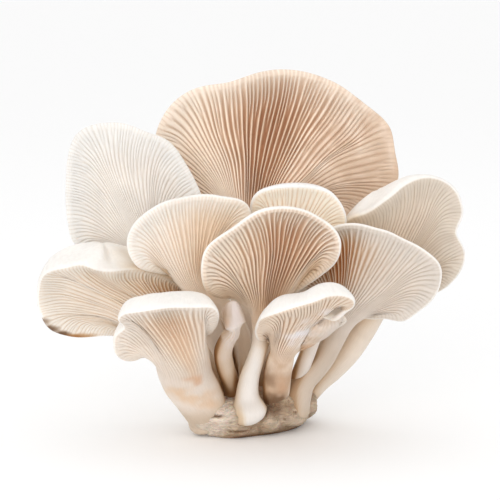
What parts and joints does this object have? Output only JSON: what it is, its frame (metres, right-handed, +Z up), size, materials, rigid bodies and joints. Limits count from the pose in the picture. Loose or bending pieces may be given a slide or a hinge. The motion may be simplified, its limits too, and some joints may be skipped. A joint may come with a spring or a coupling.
{
  "type": "oyster mushroom cluster",
  "caption": "Edible cluster of pale oyster mushrooms: broad gilled fan caps on curved stems that rise from a shared, flat-cut butt.",
  "frame": {"origin": "on the flat cut face of the butt, under the middle of the cluster", "axes": "+Z up out of the cut face, +X to the right of the gilled side along the longest extent, -Y out of the gilled side"},
  "size_m": [0.1683, 0.0943, 0.1419],
  "materials": {
    "mushroom": "matte, slightly translucent fresh mushroom flesh",
    "butt": "matte mycelium with bits of growing medium"
  },
  "bodies": {
    "root": {"mushroom_back_large": "mushroom", "mushroom_upper_left": "mushroom", "mushroom_upper_right": "mushroom", "mushroom_lower_left": "mushroom", "mushroom_mid_left": "mushroom", "mushroom_mid_back": "mushroom", "mushroom_center": "mushroom", "mushroom_front_right": "mushroom", "mushroom_right": "mushroom", "mushroom_front_left": "mushroom", "mushroom_young": "mushroom", "mushroom_small_stub": "mushroom", "butt": "butt"}
  },
  "joints": []
}
